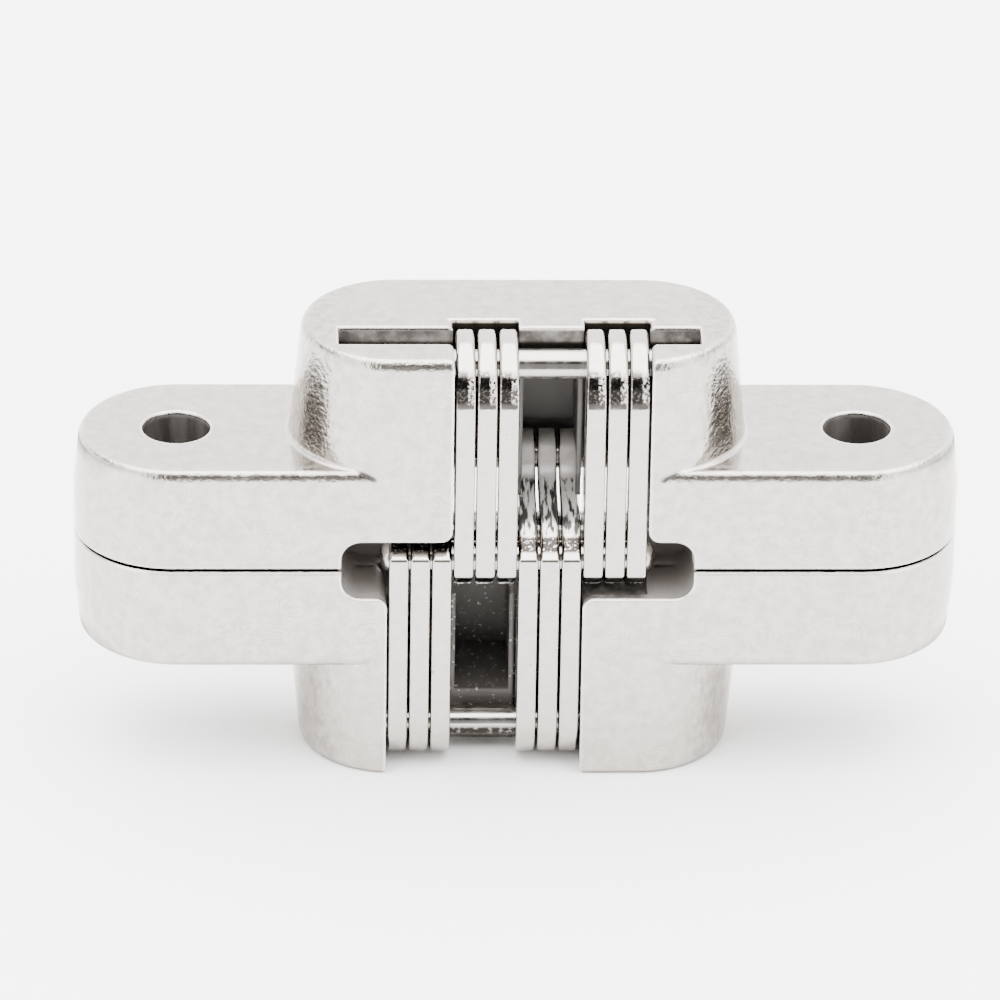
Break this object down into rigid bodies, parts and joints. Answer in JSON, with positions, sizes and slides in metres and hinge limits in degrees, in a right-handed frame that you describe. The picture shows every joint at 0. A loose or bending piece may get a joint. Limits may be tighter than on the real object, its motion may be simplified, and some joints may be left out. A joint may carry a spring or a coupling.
{
  "type": "concealed invisible door hinge",
  "caption": "Mortise hinge that hides in door and frame: two round-ended cast leaves joined by packs of steel links on cross pins, opening half a turn.",
  "frame": {"origin": "middle of the shut hinge, on the plane where the two leaves meet", "axes": "+X along the pins and the leaves' length, +Y to the side round which the hinge opens, +Z to the mortise end of the upper leaf"},
  "size_m": [0.07, 0.0156, 0.0368],
  "materials": {
    "plated_casting": "satin nickel plate on a zinc die casting",
    "plated_link": "bright nickel plate on stamped steel",
    "steel_pin": "drawn steel"
  },
  "bodies": {
    "lower_leaf_body": {"lower_leaf": "plated_casting", "lower_fixed_pin": "steel_pin"},
    "upper_links_body": {"upper_link_1": "plated_link", "upper_link_2": "plated_link", "upper_link_3": "plated_link", "upper_link_4": "plated_link", "upper_link_5": "plated_link", "upper_link_6": "plated_link", "upper_slider_pin": "steel_pin", "centre_pin": "steel_pin"},
    "lower_links_body": {"lower_link_1": "plated_link", "lower_link_2": "plated_link", "lower_link_3": "plated_link", "lower_link_4": "plated_link", "lower_link_5": "plated_link", "lower_link_6": "plated_link", "lower_slider_pin": "steel_pin"},
    "upper_leaf_body": {"upper_leaf": "plated_casting", "upper_fixed_pin": "steel_pin"}
  },
  "joints": [
    {"name": "fold", "type": "hinge", "parent": "lower_leaf_body", "child": "upper_links_body", "pos_m": [0, 0.00465, -0.00395], "axis": [-1, 0, 0], "range_deg": [0, 111.6]},
    {"name": "link_cross", "type": "hinge", "parent": "upper_links_body", "child": "lower_links_body", "pos_m": [0, -0.00535, 0], "axis": [1, 0, 0], "range_deg": [0, 43.2]},
    {"name": "upper_fold", "type": "hinge", "parent": "lower_links_body", "child": "upper_leaf_body", "pos_m": [0, 0.00465, 0.00395], "axis": [-1, 0, 0], "range_deg": [0, 111.6]}
  ],
  "couplings": [
    {"joint": "link_cross", "follows": "fold", "ratio": 0.3871},
    {"joint": "upper_fold", "follows": "fold", "ratio": 1}
  ]
}
